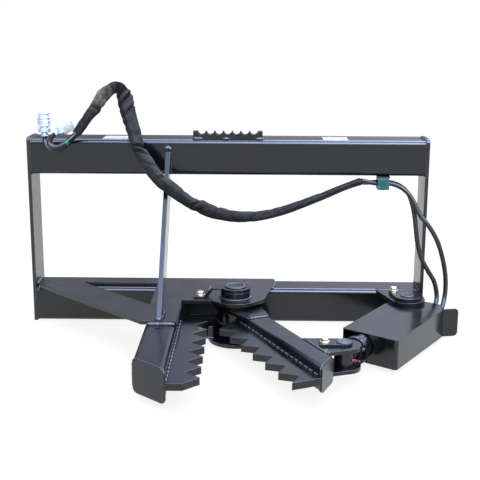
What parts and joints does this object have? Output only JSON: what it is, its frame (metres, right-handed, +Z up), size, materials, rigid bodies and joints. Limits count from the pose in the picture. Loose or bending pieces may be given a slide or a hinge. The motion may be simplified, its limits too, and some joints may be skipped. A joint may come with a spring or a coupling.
{
  "type": "tree and post puller",
  "caption": "Skid-steer jaw attachment that grips and pulls trees and posts: fixed toothed jaw, cylinder-driven swinging jaw, tube carrier frame and hoses.",
  "frame": {"origin": "ground point under the middle of the machine's box, hoses and couplers left out", "axes": "+X to the right as seen from the jaws, +Y back towards the loader, +Z up; the jaws reach towards -Y and the tubes lie along X"},
  "size_m": [1.231, 0.8566, 0.7054],
  "materials": {
    "gloss_black_paint": "glossy black powder coat",
    "black_paint": "satin black powder coat",
    "pin_steel": "turned steel, oiled",
    "chrome_rod": "hard chrome, ground",
    "zinc_plate": "yellow zinc plate",
    "coupler_steel": "zinc-nickel plated steel",
    "bronze": "bearing bronze",
    "hose_rubber": "matte black rubber hose",
    "sleeve_fabric": "woven black nylon, dusty",
    "clamp_plastic": "moulded teal polypropylene",
    "cap_plastic": "moulded blue vinyl",
    "nipple_cap": "red cap",
    "blank_label": "plain white film, blank"
  },
  "bodies": {
    "frame": {"top_beam": "gloss_black_paint", "bottom_beam": "gloss_black_paint", "left_side_plate": "black_paint", "right_side_plate": "black_paint", "step_grip": "black_paint", "coupler_hook": "black_paint", "coupler_sill": "black_paint", "upper_pivot_plate": "black_paint", "lower_pivot_plate": "black_paint", "fixed_jaw_tube": "gloss_black_paint", "fixed_jaw_cap": "black_paint", "fixed_jaw_teeth": "black_paint", "brace_bar": "gloss_black_paint", "pivot_boss": "black_paint", "foot_collar": "black_paint", "main_pin": "pin_steel", "main_pin_flag": "black_paint", "flag_bolts": "zinc_plate", "thrust_washers": "bronze", "jaw_stop": "black_paint", "base_ear_upper": "black_paint", "base_ear_lower": "black_paint", "base_pin": "pin_steel", "base_pin_flag": "black_paint", "clamp_bracket": "black_paint", "hose_clamp": "clamp_plastic", "clamp_bolt": "zinc_plate", "blank_labels": "blank_label", "hose_sleeve": "sleeve_fabric", "coupler_hoses": "hose_rubber", "clamp_hoses": "hose_rubber", "female_coupler": "coupler_steel", "male_coupler": "coupler_steel", "dust_cap": "cap_plastic", "hose_ferrules": "zinc_plate"},
    "collar": {"coupler_collar": "zinc_plate"},
    "swing_jaw": {"swing_tube_arm": "gloss_black_paint", "swing_cap": "black_paint", "swing_hub": "black_paint", "hub_plates": "black_paint", "hub_bushings": "bronze", "swing_teeth": "black_paint", "rod_ear_upper": "black_paint", "rod_ear_lower": "black_paint", "rod_pin_shaft": "pin_steel", "rod_pin_flag": "black_paint", "rod_flag_bolt": "zinc_plate"},
    "cylinder": {"barrel": "black_paint", "gland": "black_paint", "base_eye": "black_paint", "base_eye_bushing": "bronze", "port_elbows": "coupler_steel", "hose_crimps": "zinc_plate", "cylinder_guard": "gloss_black_paint", "cylinder_hoses": "hose_rubber"},
    "rod": {"piston_rod": "chrome_rod", "rod_eye": "black_paint", "piston": "pin_steel", "grease_nipple": "nipple_cap"}
  },
  "joints": [
    {"name": "jaw_swing", "type": "hinge", "parent": "frame", "child": "swing_jaw", "pos_m": [-0.01154, 0.1347, 0.06], "axis": [0, 0, -1], "range_deg": [0, 24]},
    {"name": "cylinder_swing", "type": "hinge", "parent": "frame", "child": "cylinder", "pos_m": [0.48046, 0.1657, 0.0575], "axis": [0, 0, -1], "range_deg": [0, 9.9]},
    {"name": "rod_slide", "type": "slide", "parent": "cylinder", "child": "rod", "axis": [-0.4938, -0.8696, 0], "range_m": [0, 0.1645]},
    {"name": "collar_slide", "type": "slide", "parent": "frame", "child": "collar", "axis": [0, 0, -1], "range_m": [0, 0.005], "stiffness_N_per_m": 1500}
  ],
  "couplings": [
    {"joint": "cylinder_swing", "follows": "jaw_swing", "ratio": 0.4115},
    {"joint": "rod_slide", "follows": "jaw_swing", "m_per_rad": 0.392}
  ]
}
